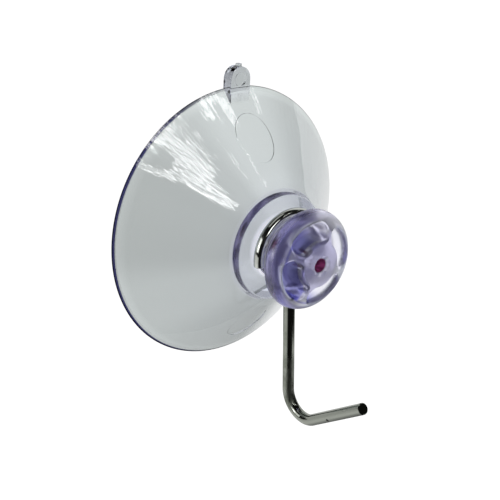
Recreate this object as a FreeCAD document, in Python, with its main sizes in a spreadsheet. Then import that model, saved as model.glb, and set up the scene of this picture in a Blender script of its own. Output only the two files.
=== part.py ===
import FreeCAD, Part
import math
import os

import Sketcher

# A clear suction cup with a wire hook that swivels on its neck.
# The cup is pressed on a wall that lies in the XZ plane, its axis runs out of the wall along -Y, and +Z
# is up. The origin is the centre of the flat band of lip that meets the wall. Lengths are in mm and
# angles in degrees.

SIZES = (
    # The thin cone that grips the wall
    ("rim_diameter", 60.0, "across the lip"),
    ("lip_band", 1.0, "width of the flat band that meets the wall"),
    ("lip_edge_radius", 0.3, "rounding of the lip's outer corner"),
    ("cone_height", 15.7, "from the wall to the back of the collar"),
    ("shoulder_diameter", 24.0, "across the cone where it meets the collar"),
    ("shoulder_round", 0.5, "rounding of that corner"),
    ("wall_taper", 2.2, "how much steeper the cone is outside than inside"),
    ("crown_radius", 20.0, "curve between the hollow's wall and its top"),
    ("hub_floor", 2.6, "solid between the hollow's top and the front of the collar"),
    # The collar that keeps the hook off the cone, and the neck that the hook turns on
    ("collar_diameter", 22.6, "across the collar"),
    ("collar_thickness", 2.1, "along the axis"),
    ("collar_edge_radius", 0.35, "rounding of its front corner"),
    ("neck_diameter", 12.9, "what the ring of the hook turns on"),
    ("neck_root_radius", 0.4, "fillets at the two ends of the neck"),
    ("groove_width", 5.9, "from the collar to the back of the head"),
    # The domed head that keeps the hook on
    ("head_diameter", 21.0, "across the head"),
    ("head_height", 6.5, "from its back to the middle of its dome"),
    ("head_back_radius", 1.6, "rounding of its back corner"),
    ("head_shoulder_radius", 3.0, "rounding between its side and its dome"),
    ("pocket_inner_radius", 4.9, "where the four pockets meet the boss"),
    ("pocket_outer_radius", 8.4, "where they meet the outer wall"),
    ("pocket_half_span", 23.0, "from a pocket's middle to the centre of its round end"),
    ("pocket_turn", 21.0, "from level to the middle of the first pocket"),
    ("pocket_draft", 2.0, "taper of the pocket walls"),
    ("pocket_floor", 1.2, "solid behind the pockets"),
    ("pocket_count", 4, "pockets round the head"),
    ("pin_hole_diameter", 2.9, "blind hole in the middle of the head"),
    ("pin_hole_depth", 5.5, "from the middle of the dome"),
    ("pin_hole_mouth_diameter", 4.4, "its countersunk mouth"),
    ("pin_hole_mouth_depth", 0.7, "depth of the countersink"),
    # The pull tab at the top of the rim
    ("tab_width", 5.3, "across the tab"),
    ("tab_reach", 1.9, "from the rim to the centre of the tab's round end"),
    ("tab_thickness", 2.4, "along the axis"),
    ("tab_lift", 0.2, "gap behind the tab, for a finger nail"),
    ("tab_edge_radius", 0.3, "rounding of its outline"),
    ("dimple_diameter", 2.9, "round dimple in its face"),
    ("dimple_depth", 0.45, "depth of the dimple"),
    ("gate_diameter", 1.3, "stub of the moulding gate on its end"),
    ("gate_height", 0.5, "how far the stub stands out"),
    # Round marks that two moulding pins leave on the cone
    ("pin_mark_diameter", 8.6, "across a mark, seen along the axis"),
    ("pin_mark_distance", 9.1, "from the rim to the middle of a mark, seen along the axis"),
    ("pin_mark_depth", 0.12, "how far a mark is sunk into the wall"),
    # How the cup was turned when it was pressed on
    ("cup_turn", 3.5, "from upright to the tab, clockwise from in front"),
    # The hook, one length of wire
    ("wire_diameter", 2.5, "of the hook's wire"),
    ("wire_end_chamfer", 0.15, "on the edges of its two cut ends"),
    ("swivel_clearance", 0.3, "between the neck and the ring of the hook"),
    ("head_play", 2.15, "between the ring and the back of the head"),
    ("ring_end_angle", 187.0, "from level right to the ring's cut end"),
    ("ring_bend_radius", 3.0, "where the ring turns into the shank"),
    ("shank_drop", 41.8, "from the axis to the corner that the shank and tip would make"),
    ("foot_bend_radius", 5.1, "of the bend between shank and tip"),
    ("tip_length", 27.1, "from that corner to the cut end"),
    ("tip_rise", 33.8, "angle of the tip above level"),
)

# Expressions for the sizes that follow from the ones above
RIM_RADIUS = "(Sizes.rim_diameter / 2)"
BAND_INNER = f"({RIM_RADIUS} - Sizes.lip_edge_radius - Sizes.lip_band)"
SHOULDER_RADIUS = "(Sizes.shoulder_diameter / 2)"
COLLAR_RADIUS = "(Sizes.collar_diameter / 2)"
NECK_RADIUS = "(Sizes.neck_diameter / 2)"
HEAD_RADIUS = "(Sizes.head_diameter / 2)"
WIRE_RADIUS = "(Sizes.wire_diameter / 2)"
COLLAR_FRONT = "(Sizes.cone_height + Sizes.collar_thickness)"
HEAD_BACK = f"({COLLAR_FRONT} + Sizes.groove_width)"
HEAD_FRONT = f"({HEAD_BACK} + Sizes.head_height)"
HEAD_WIDEST = f"({HEAD_BACK} + Sizes.head_back_radius)"

# The cone narrows by this much, over this depth, from the lip to the shoulder
CONE_RUN = f"({RIM_RADIUS} - {SHOULDER_RADIUS})"
CONE_RISE = "(Sizes.cone_height - Sizes.lip_edge_radius)"
CONE_SLANT = f"hypot({CONE_RUN}; {CONE_RISE})"

# The hollow is a flatter cone, so its wall thickens from the lip, and a round leads into its flat top
HOLLOW_TOP = f"({COLLAR_FRONT} - Sizes.hub_floor)"
HOLLOW_SLOPE = f"(atan2({CONE_RISE}; {CONE_RUN}) - Sizes.wall_taper * 1 deg)"
HOLLOW_FLAT = (
    f"({BAND_INNER} - {HOLLOW_TOP} / tan({HOLLOW_SLOPE})"
    f" - Sizes.crown_radius * tan({HOLLOW_SLOPE} / 2))"
)

# The dome is an arc that runs smoothly into the arc of the head's shoulder
SHOULDER_ARC = "Sizes.head_shoulder_radius"
ARC_OFFSET = f"({HEAD_RADIUS} - {SHOULDER_ARC})"
ARC_DEPTH = "(Sizes.head_height - Sizes.head_back_radius)"
DOME_RADIUS = (
    f"(({ARC_OFFSET} ^ 2 + {ARC_DEPTH} ^ 2 - {SHOULDER_ARC} ^ 2) / (2 * ({ARC_DEPTH} - {SHOULDER_ARC})))"
)
DOME_SHARE = f"({DOME_RADIUS} / ({DOME_RADIUS} - {SHOULDER_ARC}))"

# The ring of the hook lies in a plane, with play between it and the head
RING_RADIUS = f"({NECK_RADIUS} + Sizes.swivel_clearance + {WIRE_RADIUS})"
RING_DEPTH = f"({HEAD_BACK} - Sizes.head_play - {WIRE_RADIUS})"
RING_BEND_DROP = f"(sqrt(({RING_RADIUS} + Sizes.ring_bend_radius) ^ 2 - Sizes.ring_bend_radius ^ 2))"
FOOT_START = "(Sizes.shank_drop - Sizes.foot_bend_radius * tan((90 + Sizes.tip_rise) / 2))"

LEFT, RIGHT = 1, -1
SURFACE_SLACK = 1e-3


def make_sheet(doc):
    """Writes the driving sizes into a spreadsheet, one alias each."""
    sheet = doc.addObject("Spreadsheet::Sheet", "Sizes")
    for row, (alias, size, remark) in enumerate(SIZES, start=1):
        sheet.set(f"A{row}", alias)
        sheet.set(f"B{row}", str(size))
        sheet.setAlias(f"B{row}", alias)
        sheet.set(f"C{row}", remark)
    doc.recompute()
    return sheet


def value(thing, expression):
    """The number that an expression of the sheet gives now."""
    result = thing.evalExpression(expression)
    return float(getattr(result, "Value", result))


def new_body(doc, name):
    """A body whose label is the name of the piece."""
    body = doc.addObject("PartDesign::Body", name)
    body.Label = name
    return body


def new_sketch(body, name, plane_role, offset=None):
    """A sketch on one of the body's own origin planes, moved along its normal by an expression."""
    sketch = body.newObject("Sketcher::SketchObject", name)
    plane = next(item for item in body.Origin.OriginFeatures if item.Role == plane_role)
    sketch.AttachmentSupport = (plane, [""])
    sketch.MapMode = "FlatFace"
    if offset is not None:
        sketch.setExpression("AttachmentOffset.Base.z", offset)
    return sketch


def bind(sketch, constraint, expression):
    """Adds a dimension to the sketch and ties it to the sheet."""
    index = sketch.addConstraint(constraint)
    sketch.setExpression(f"Constraints[{index}]", expression)


def place_point(sketch, geometry, point, across, along):
    """Ties a point of the sketch to two expressions. A zero puts it on the axis."""
    where = sketch.getPoint(geometry, point)
    for kind, axis, expression, now in (
        ("DistanceX", -2, across, where.x),
        ("DistanceY", -1, along, where.y),
    ):
        if expression == "0":
            sketch.addConstraint(Sketcher.Constraint("PointOnObject", geometry, point, axis))
        else:
            bind(sketch, Sketcher.Constraint(kind, -1, 1, geometry, point, now), expression)


def add_arc(sketch, start, end, side, radius):
    """Adds an arc of under half a turn, its centre to the LEFT or RIGHT of the way from start to end."""
    chord = end - start
    middle = (start + end) / 2
    normal = FreeCAD.Vector(-chord.y, chord.x, 0).normalize()
    centre = middle + normal * side * (radius**2 - (chord.Length / 2) ** 2) ** 0.5
    halfway = centre + (middle - centre).normalize() * radius
    geometry = sketch.addGeometry(Part.Arc(start, halfway, end), False)
    starts_first = (sketch.getPoint(geometry, 1) - start).Length < SURFACE_SLACK
    return geometry, (1, 2) if starts_first else (2, 1)


def outline(sketch, corners):
    """Draws a closed outline. A corner is (across, along, bend): where it is, and how the outline leaves
    it, which is None for a straight side or (side, radius) for an arc."""
    places = [
        FreeCAD.Vector(value(sketch, across), value(sketch, along), 0) for across, along, bend in corners
    ]
    sides = []
    for index, (across, along, bend) in enumerate(corners):
        start, end = places[index], places[(index + 1) % len(places)]
        if bend is None:
            geometry = sketch.addGeometry(Part.LineSegment(start, end), False)
            sides.append((geometry, 1, 2))
        else:
            side, radius = bend
            geometry, ends = add_arc(sketch, start, end, side, value(sketch, radius))
            sides.append((geometry, *ends))
    for index, (geometry, first, last) in enumerate(sides):
        follower, follower_first, _ = sides[(index + 1) % len(sides)]
        sketch.addConstraint(Sketcher.Constraint("Coincident", geometry, last, follower, follower_first))
    for (geometry, first, last), (across, along, bend) in zip(sides, corners):
        place_point(sketch, geometry, first, across, along)
        if bend is not None:
            bind(sketch, Sketcher.Constraint("Radius", geometry, value(sketch, bend[1])), bend[1])


def circle(sketch, across, along, radius):
    """Draws a circle tied to the sheet."""
    centre = FreeCAD.Vector(value(sketch, across), value(sketch, along), 0)
    up = FreeCAD.Vector(0, 0, 1)
    geometry = sketch.addGeometry(Part.Circle(centre, up, value(sketch, radius)), False)
    place_point(sketch, geometry, 3, across, along)
    bind(sketch, Sketcher.Constraint("Radius", geometry, value(sketch, radius)), radius)


def revolve(body, kind, name, corners):
    """Turns an outline of (distance from axis, depth from wall) about the cup's axis."""
    sketch = new_sketch(body, f"{name}_outline", "XY_Plane")
    outline(
        sketch,
        [(across, depth if depth == "0" else f"-({depth})", bend) for across, depth, bend in corners],
    )
    feature = body.newObject(kind, name)
    feature.Profile = sketch
    feature.ReferenceAxis = (sketch, ["V_Axis"])
    feature.Angle = 360
    return feature


def cone_to_head(body):
    """The cone, collar, neck and head, turned in one, with the cone still solid."""
    root = "Sizes.neck_root_radius"
    edge = "Sizes.collar_edge_radius"
    back = "Sizes.head_back_radius"
    return revolve(
        body,
        "PartDesign::Revolution",
        "turned_form",
        [
            ("0", "0", None),
            (f"{RIM_RADIUS} - Sizes.lip_edge_radius", "0", (RIGHT, "Sizes.lip_edge_radius")),
            (RIM_RADIUS, "Sizes.lip_edge_radius", None),
            (SHOULDER_RADIUS, "Sizes.cone_height", None),
            (COLLAR_RADIUS, "Sizes.cone_height", None),
            (COLLAR_RADIUS, f"{COLLAR_FRONT} - {edge}", (RIGHT, edge)),
            (f"{COLLAR_RADIUS} - {edge}", COLLAR_FRONT, None),
            (f"{NECK_RADIUS} + {root}", COLLAR_FRONT, (LEFT, root)),
            (NECK_RADIUS, f"{COLLAR_FRONT} + {root}", None),
            (NECK_RADIUS, f"{HEAD_BACK} - {root}", (LEFT, root)),
            (f"{NECK_RADIUS} + {root}", HEAD_BACK, None),
            (f"{HEAD_RADIUS} - {back}", HEAD_BACK, (RIGHT, back)),
            (HEAD_RADIUS, HEAD_WIDEST, (RIGHT, SHOULDER_ARC)),
            (
                f"{ARC_OFFSET} * {DOME_SHARE}",
                f"{HEAD_FRONT} - {DOME_RADIUS} + ({DOME_RADIUS} - {ARC_DEPTH}) * {DOME_SHARE}",
                (RIGHT, DOME_RADIUS),
            ),
            ("0", HEAD_FRONT, None),
        ],
    )


def ring_edges(shape, radius, depth):
    """Names of the shape's round edges of this radius at this depth from the wall."""
    return [
        f"Edge{index}"
        for index, edge in enumerate(shape.Edges, start=1)
        if abs(edge.BoundBox.XMax - radius) < SURFACE_SLACK
        and abs(edge.BoundBox.YMin + depth) < SURFACE_SLACK
        and abs(edge.BoundBox.YMax + depth) < SURFACE_SLACK
    ]


def round_shoulder(body, turned):
    """Rounds the corner between the cone and the ledge behind the collar."""
    fillet = body.newObject("PartDesign::Fillet", "shoulder_fillet")
    edges = ring_edges(turned.Shape, value(body, SHOULDER_RADIUS), value(body, "Sizes.cone_height"))
    fillet.Base = (turned, edges)
    fillet.setExpression("Radius", "Sizes.shoulder_round")
    return fillet


def pocket_outline(sketch):
    """A kidney between two circles round the axis, with round ends and its middle level to the right."""
    inner, outer = "Sizes.pocket_inner_radius", "Sizes.pocket_outer_radius"
    half = "Sizes.pocket_half_span"
    cap = f"(({outer} - {inner}) / 2)"
    middle = f"(({outer} + {inner}) / 2)"
    angle = math.radians(value(sketch, half))
    axis, up = FreeCAD.Vector(), FreeCAD.Vector(0, 0, 1)

    def arc(centre, radius, first, last):
        return sketch.addGeometry(Part.ArcOfCircle(Part.Circle(centre, up, radius), first, last), False)

    ends = {
        sign: FreeCAD.Vector(
            value(sketch, f"{middle} * cos({half})"), sign * value(sketch, f"{middle} * sin({half})"), 0
        )
        for sign in (1, -1)
    }
    outer_arc = arc(axis, value(sketch, outer), -angle, angle)
    inner_arc = arc(axis, value(sketch, inner), -angle, angle)
    upper_cap = arc(ends[1], value(sketch, cap), angle, angle + math.pi)
    lower_cap = arc(ends[-1], value(sketch, cap), math.pi - angle, 2 * math.pi - angle)
    for geometry, radius in ((outer_arc, outer), (inner_arc, inner)):
        sketch.addConstraint(Sketcher.Constraint("Coincident", geometry, 3, -1, 1))
        bind(sketch, Sketcher.Constraint("Radius", geometry, value(sketch, radius)), radius)
    for one, end_of_one, other, end_of_other in (
        (outer_arc, 2, upper_cap, 1),
        (upper_cap, 2, inner_arc, 2),
        (inner_arc, 1, lower_cap, 1),
        (lower_cap, 2, outer_arc, 1),
    ):
        sketch.addConstraint(Sketcher.Constraint("Tangent", one, end_of_one, other, end_of_other))
    for geometry, sign in ((upper_cap, 1), (lower_cap, -1)):
        bind(
            sketch,
            Sketcher.Constraint("DistanceY", -1, 1, geometry, 3, ends[sign].y),
            f"{sign} * {middle} * sin({half})",
        )


def cut_pockets(body):
    """Four kidney pockets that lighten the head, open at its dome."""
    mouth = f"({HEAD_FRONT} + Sizes.pocket_floor)"
    sketch = new_sketch(body, "pocket_outline", "XZ_Plane", mouth)
    sketch.setExpression("AttachmentOffset.Rotation.Angle", "Sizes.pocket_turn")
    pocket_outline(sketch)
    pocket = body.newObject("PartDesign::Pocket", "head_pocket")
    pocket.Profile = sketch
    pocket.setExpression("Length", f"{mouth} - {HEAD_BACK} - Sizes.pocket_floor")
    pocket.setExpression("TaperAngle", "-Sizes.pocket_draft")
    pattern = body.newObject("PartDesign::PolarPattern", "head_pockets")
    pattern.Originals = [pocket]
    pattern.Axis = (sketch, ["N_Axis"])
    pattern.Angle = 360
    pattern.setExpression("Occurrences", "Sizes.pocket_count")
    body.Tip = pattern
    return pattern


def cut_pin_hole(body):
    """The blind hole in the middle of the head, with a countersunk mouth."""
    hole, mouth = "(Sizes.pin_hole_diameter / 2)", "(Sizes.pin_hole_mouth_diameter / 2)"
    # The dome falls away by this much from the middle to the edge of the mouth
    dome_fall = f"({DOME_RADIUS} - sqrt({DOME_RADIUS} ^ 2 - {mouth} ^ 2))"
    lip = f"({HEAD_FRONT} - {dome_fall})"
    slope = f"(({mouth} - {hole}) / Sizes.pin_hole_mouth_depth)"
    return revolve(
        body,
        "PartDesign::Groove",
        "pin_hole",
        [
            ("0", f"{HEAD_FRONT} - Sizes.pin_hole_depth", None),
            (hole, f"{HEAD_FRONT} - Sizes.pin_hole_depth", None),
            (hole, f"{lip} - Sizes.pin_hole_mouth_depth", None),
            (f"{mouth} + {slope} * {dome_fall}", HEAD_FRONT, None),
            ("0", HEAD_FRONT, None),
        ],
    )


def cut_hollow(body):
    """The space that holds the suction: a cone with a round top, cut through the tab's root as well."""
    return revolve(
        body,
        "PartDesign::Groove",
        "hollow",
        [
            ("0", HOLLOW_TOP, None),
            (HOLLOW_FLAT, HOLLOW_TOP, (LEFT, "Sizes.crown_radius")),
            (
                f"{HOLLOW_FLAT} + Sizes.crown_radius * sin({HOLLOW_SLOPE})",
                f"{HOLLOW_TOP} - Sizes.crown_radius * (1 - cos({HOLLOW_SLOPE}))",
                None,
            ),
            (BAND_INNER, "0", None),
            ("0", "0", None),
        ],
    )


def pad(body, name, sketch, length):
    """Raises a sketch along its normal."""
    feature = body.newObject("PartDesign::Pad", name)
    feature.Profile = sketch
    feature.setExpression("Length", length)
    return feature


def add_tab(body):
    """The pull tab: a stem out of the rim, a round end with a dimple, and the gate's stub on top."""
    half = "(Sizes.tab_width / 2)"
    centre = f"({RIM_RADIUS} + Sizes.tab_reach)"
    face = "(Sizes.tab_lift + Sizes.tab_thickness)"
    # The stem starts inside the cone, below where the tab's face comes out of it
    root = f"({RIM_RADIUS} - {face} * {CONE_RUN} / {CONE_RISE} - Sizes.tab_thickness)"

    stem = new_sketch(body, "tab_stem_outline", "XZ_Plane", "Sizes.tab_lift")
    stem_corners = ((f"-{half}", root), (half, root), (half, centre), (f"-{half}", centre))
    outline(stem, [(across, along, None) for across, along in stem_corners])
    pad(body, "tab_stem", stem, "Sizes.tab_thickness")

    end = new_sketch(body, "tab_end_outline", "XZ_Plane", "Sizes.tab_lift")
    circle(end, "0", centre, half)
    rounded = pad(body, "tab_end", end, "Sizes.tab_thickness")
    body.Document.recompute()
    soften_tab(body, rounded)

    dimple = new_sketch(body, "dimple_outline", "XZ_Plane", face)
    circle(dimple, "0", centre, "Sizes.dimple_diameter / 2")
    pocket = body.newObject("PartDesign::Pocket", "tab_dimple")
    pocket.Profile = dimple
    pocket.setExpression("Length", "Sizes.dimple_depth")

    # The stub is rooted as deep in the tab's end as it stands out of it, close behind the face
    gate = new_sketch(body, "gate_outline", "XY_Plane", f"{centre} + {half} - Sizes.gate_height")
    gate_radius = "(Sizes.gate_diameter / 2)"
    circle(gate, "0", f"-({face} - Sizes.tab_edge_radius - {gate_radius})", gate_radius)
    pad(body, "gate_stub", gate, "2 * Sizes.gate_height")


def soften_tab(body, rounded):
    """Rounds the outline of the tab's face."""
    rim = value(body, RIM_RADIUS)
    depth = value(body, "Sizes.tab_lift + Sizes.tab_thickness")
    names = [
        f"Edge{index}"
        for index, edge in enumerate(rounded.Shape.Edges, start=1)
        if edge.BoundBox.ZMax > rim + SURFACE_SLACK
        and edge.BoundBox.YLength < SURFACE_SLACK
        and abs(edge.BoundBox.YMin + depth) < SURFACE_SLACK
    ]
    fillet = body.newObject("PartDesign::Fillet", "tab_fillet")
    fillet.Base = (rounded, names)
    fillet.setExpression("Radius", "Sizes.tab_edge_radius")


def make_pin_marks(doc):
    """Two thin round slips of the cone's surface, above and below, where moulding pins met it."""

    def corner(radius, depth, height):
        """A point of the cone's outline, lifted off its surface by an expression."""
        across = f"{radius} + {height} * {CONE_RISE} / {CONE_SLANT}"
        return (across, f"{depth} + {height} * {CONE_RUN} / {CONE_SLANT}", None)

    sunk, proud = "(-Sizes.pin_mark_depth)", "Sizes.pin_mark_depth"
    shell = new_body(doc, "mark_shell")
    revolve(
        shell,
        "PartDesign::Revolution",
        "mark_layer",
        [
            corner(RIM_RADIUS, "Sizes.lip_edge_radius", sunk),
            corner(RIM_RADIUS, "Sizes.lip_edge_radius", proud),
            corner(SHOULDER_RADIUS, "Sizes.cone_height", proud),
            corner(SHOULDER_RADIUS, "Sizes.cone_height", sunk),
        ],
    )
    pins = new_body(doc, "mark_pins")
    sketch = new_sketch(pins, "pin_outline", "XZ_Plane")
    from_axis = f"({RIM_RADIUS} - Sizes.pin_mark_distance)"
    for along in (from_axis, f"-{from_axis}"):
        circle(sketch, "0", along, "Sizes.pin_mark_diameter / 2")
    pad(pins, "pins", sketch, HEAD_FRONT)

    marks = doc.addObject("Part::Common", "pin_marks")
    marks.Base = shell
    marks.Tool = pins
    return marks


def make_cup(doc):
    """The whole clear moulding, turned on the wall as it was pressed on."""
    form = new_body(doc, "cup_form")
    turned = cone_to_head(form)
    doc.recompute()
    round_shoulder(form, turned)
    cut_pockets(form)
    cut_pin_hole(form)
    add_tab(form)
    cut_hollow(form)
    cup = doc.addObject("Part::Cut", "suction_cup")
    cup.Label = "suction_cup"
    cup.Base = form
    cup.Tool = make_pin_marks(doc)
    cup.setExpression("Placement.Rotation.Axis.x", "0")
    cup.setExpression("Placement.Rotation.Axis.y", "1")
    cup.setExpression("Placement.Rotation.Axis.z", "0")
    cup.setExpression("Placement.Rotation.Angle", "Sizes.cup_turn")
    return cup


def draw_ring_path(body):
    """The middle line of the ring, the bend below it and the shank, seen from in front."""
    sketch = new_sketch(body, "ring_path", "XZ_Plane")
    radius, bend = value(sketch, RING_RADIUS), value(sketch, "Sizes.ring_bend_radius")
    drop, bottom = value(sketch, RING_BEND_DROP), value(sketch, FOOT_START)
    up, axis = FreeCAD.Vector(0, 0, 1), FreeCAD.Vector()
    bend_centre = FreeCAD.Vector(bend, -drop, 0)
    joint = math.atan2(-drop, bend)
    cut_end = math.radians(value(sketch, "Sizes.ring_end_angle"))
    ring = sketch.addGeometry(Part.ArcOfCircle(Part.Circle(axis, up, radius), joint, cut_end), False)
    neck = sketch.addGeometry(
        Part.ArcOfCircle(Part.Circle(bend_centre, up, bend), joint + math.pi, math.pi), False
    )
    shank = sketch.addGeometry(
        Part.LineSegment(FreeCAD.Vector(0, -drop, 0), FreeCAD.Vector(0, -bottom, 0)), False
    )
    sketch.addConstraint(Sketcher.Constraint("Coincident", ring, 3, -1, 1))
    bind(sketch, Sketcher.Constraint("Radius", ring, radius), RING_RADIUS)
    bind(sketch, Sketcher.Constraint("Radius", neck, bend), "Sizes.ring_bend_radius")
    sketch.addConstraint(Sketcher.Constraint("Tangent", ring, 1, neck, 1))
    sketch.addConstraint(Sketcher.Constraint("Tangent", neck, 2, shank, 1))
    sketch.addConstraint(Sketcher.Constraint("PointOnObject", shank, 1, -2))
    sketch.addConstraint(Sketcher.Constraint("PointOnObject", shank, 2, -2))
    height = f"{RING_RADIUS} * sin(Sizes.ring_end_angle)"
    bind(sketch, Sketcher.Constraint("DistanceY", -1, 1, ring, 2, value(sketch, height)), height)
    bind(sketch, Sketcher.Constraint("DistanceY", -1, 1, shank, 2, -bottom), f"-{FOOT_START}")
    return sketch


def draw_foot_path(body):
    """The middle line of the bend and the rising tip, seen from the side."""
    sketch = new_sketch(body, "foot_path", "YZ_Plane")
    bend, bottom = value(sketch, "Sizes.foot_bend_radius"), value(sketch, FOOT_START)
    rise = math.radians(value(sketch, "Sizes.tip_rise"))
    across = "-Sizes.tip_length * cos(Sizes.tip_rise)"
    along = "Sizes.tip_length * sin(Sizes.tip_rise) - Sizes.shank_drop"
    centre, up = FreeCAD.Vector(-bend, -bottom, 0), FreeCAD.Vector(0, 0, 1)
    leave = -math.pi / 2 - rise
    foot = sketch.addGeometry(Part.ArcOfCircle(Part.Circle(centre, up, bend), leave, 0), False)
    tip_end = FreeCAD.Vector(value(sketch, across), value(sketch, along), 0)
    tip = sketch.addGeometry(Part.LineSegment(sketch.getPoint(foot, 1), tip_end), False)
    place_point(sketch, foot, 2, "0", f"-{FOOT_START}")
    bind(sketch, Sketcher.Constraint("Radius", foot, bend), "Sizes.foot_bend_radius")
    bind(sketch, Sketcher.Constraint("DistanceY", -1, 1, foot, 3, -bottom), f"-{FOOT_START}")
    sketch.addConstraint(Sketcher.Constraint("Tangent", foot, 1, tip, 1))
    place_point(sketch, tip, 2, across, along)
    return sketch


def sweep_wire(body, name, path):
    """Sweeps the wire's section from the bottom of the shank along a path."""
    section = new_sketch(body, f"{name}_section", "XY_Plane", f"-{FOOT_START}")
    circle(section, "0", "0", WIRE_RADIUS)
    pipe = body.newObject("PartDesign::AdditivePipe", name)
    pipe.Profile = section
    pipe.Spine = (path, [])
    return pipe


def make_hook(doc):
    """The hook: an open ring round the neck, a shank and a rising tip, bent from one length of wire."""
    hook = new_body(doc, "wire_hook")
    sweep_wire(hook, "ring_and_shank", draw_ring_path(hook))
    doc.recompute()
    foot = sweep_wire(hook, "foot_and_tip", draw_foot_path(hook))
    doc.recompute()
    chamfer_ends(hook, foot)
    hook.setExpression("Placement.Base.y", f"-{RING_DEPTH}")
    return hook


def chamfer_ends(hook, wire):
    """Takes the sharp edge off the two cut ends."""
    end_of_ring = value(hook, RING_RADIUS), math.radians(value(hook, "Sizes.ring_end_angle"))
    rise = math.radians(value(hook, "Sizes.tip_rise"))
    length, drop = value(hook, "Sizes.tip_length"), value(hook, "Sizes.shank_drop")
    ends = (
        FreeCAD.Vector(math.cos(end_of_ring[1]), 0, math.sin(end_of_ring[1])) * end_of_ring[0],
        FreeCAD.Vector(0, -length * math.cos(rise), length * math.sin(rise) - drop),
    )
    names = [
        f"Edge{index}"
        for index, edge in enumerate(wire.Shape.Edges, start=1)
        if any((edge.CenterOfMass - end).Length < SURFACE_SLACK for end in ends)
    ]
    chamfer = hook.newObject("PartDesign::Chamfer", "end_chamfer")
    chamfer.Base = (wire, names)
    chamfer.setExpression("Size", "Sizes.wire_end_chamfer")


def check(doc, pieces):
    """Stops if any object failed, or if a piece isn't one sound solid."""
    failed = [item.Name for item in doc.Objects if {"Invalid", "Error"} & set(item.State)]
    if failed:
        raise RuntimeError(f"objects that failed: {failed}")
    for piece in pieces:
        shape = piece.Shape
        if shape.isNull() or not shape.isValid() or len(shape.Solids) != 1:
            raise RuntimeError(f"{piece.Label} is not one valid solid")


def main():
    doc = FreeCAD.newDocument("suction_cup_with_hook")
    make_sheet(doc)
    pieces = (make_cup(doc), make_hook(doc))
    doc.recompute()
    check(doc, pieces)
    os.makedirs("parts", exist_ok=True)
    for piece in pieces:
        piece.Shape.exportStep(os.path.join("parts", f"{piece.Label}.step"))
        print(f"{piece.Label}: {piece.Shape.Volume:.1f} cubic mm, {len(piece.Shape.Faces)} faces")


main()
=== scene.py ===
"""Dresses a clear suction cup and its wire hook, and lights them in a plain white studio."""

import logging
import math
from dataclasses import dataclass
from enum import Enum
from typing import Iterable, Sequence

import bmesh
import bpy
from mathutils import Matrix, Vector


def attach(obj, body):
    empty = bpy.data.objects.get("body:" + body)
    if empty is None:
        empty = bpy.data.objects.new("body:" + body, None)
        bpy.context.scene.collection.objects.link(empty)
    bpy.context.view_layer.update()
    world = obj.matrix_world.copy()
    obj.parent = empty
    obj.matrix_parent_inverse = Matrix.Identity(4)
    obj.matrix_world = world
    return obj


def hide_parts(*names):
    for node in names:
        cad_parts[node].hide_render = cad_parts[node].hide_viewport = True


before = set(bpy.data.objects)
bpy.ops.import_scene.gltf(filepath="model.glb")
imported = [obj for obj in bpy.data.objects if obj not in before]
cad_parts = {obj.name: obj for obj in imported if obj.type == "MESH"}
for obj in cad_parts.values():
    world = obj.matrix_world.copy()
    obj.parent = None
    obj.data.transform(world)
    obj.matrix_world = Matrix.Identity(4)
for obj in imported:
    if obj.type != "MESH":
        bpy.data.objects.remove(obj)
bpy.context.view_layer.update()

LOG = logging.getLogger("suction_cup")

# Sizes below are in millimetres, and Blender's are in metres.
MM = 0.001

# Closer than this, in millimetres, two points of an outline are one, and a point on the axis is a pole.
SAME_PLACE = 1e-5

# A point of an outline turned about the cup's axis: distance from the axis, depth from the wall.
Point = tuple[float, float]

# A range over which something rises or falls.
Span = tuple[float, float]

# Red, green and blue, from 0 to 1.
Colour = tuple[float, float, float]


# Outlines and meshes


def steps(first: float, last: float, size: float) -> list[float]:
    """Angles in radians from one to another in even steps of about a size, all given in degrees."""
    count = max(2, math.ceil(abs(last - first) / size))
    return [math.radians(first + (last - first) * i / count) for i in range(count + 1)]


def full_turn(count: int) -> list[float]:
    """Angles of points spread evenly all the way round, in radians."""
    return [2 * math.pi * i / count for i in range(count)]


def arc_points(centre: Point, radius: float, first: float, sweep: float, count: int) -> list[Point]:
    """Points along an arc without the one at its end, with its angles in radians."""
    turns = [first + sweep * i / count for i in range(count)]
    return [(centre[0] + radius * math.cos(t), centre[1] + radius * math.sin(t)) for t in turns]


class Outline:
    """An outline drawn from point to point, with arcs broken into short sides."""

    # How far from each end of a side its extra points lie, and the most that may lie between two points
    MARGIN = 0.12
    SPACING = 2.0

    def __init__(self, start: Point) -> None:
        """Starts the outline at its first point."""
        self.points: list[Point] = [start]

    def line(self, end: Point) -> "Outline":
        """Adds a straight side, with a point close to each end so that shading stays even along it.

        Args:
            end: Where the side ends.

        Returns:
            The outline.
        """
        start = self.points[-1]
        run = math.dist(start, end)
        shares = [1.0]
        if run > 4 * self.MARGIN:
            inner = run - 2 * self.MARGIN
            count = max(1, math.ceil(inner / self.SPACING))
            shares = [(self.MARGIN + inner * i / count) / run for i in range(count + 1)] + [1.0]
        for share in shares:
            self.points.append(
                (start[0] + (end[0] - start[0]) * share, start[1] + (end[1] - start[1]) * share)
            )
        return self

    def arc(self, centre: Point, first: float, last: float, radius: float, step: float = 9.0) -> "Outline":
        """Adds an arc.

        Args:
            centre: The arc's centre.
            first: The angle that it starts at, in degrees from straight out towards more depth.
            last: The angle that it ends at.
            radius: The arc's radius.
            step: The most that one side may turn, in degrees.

        Returns:
            The outline.
        """
        for angle in steps(first, last, step):
            point = (centre[0] + radius * math.cos(angle), centre[1] + radius * math.sin(angle))
            if math.dist(point, self.points[-1]) > SAME_PLACE:
                self.points.append(point)
        return self


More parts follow.
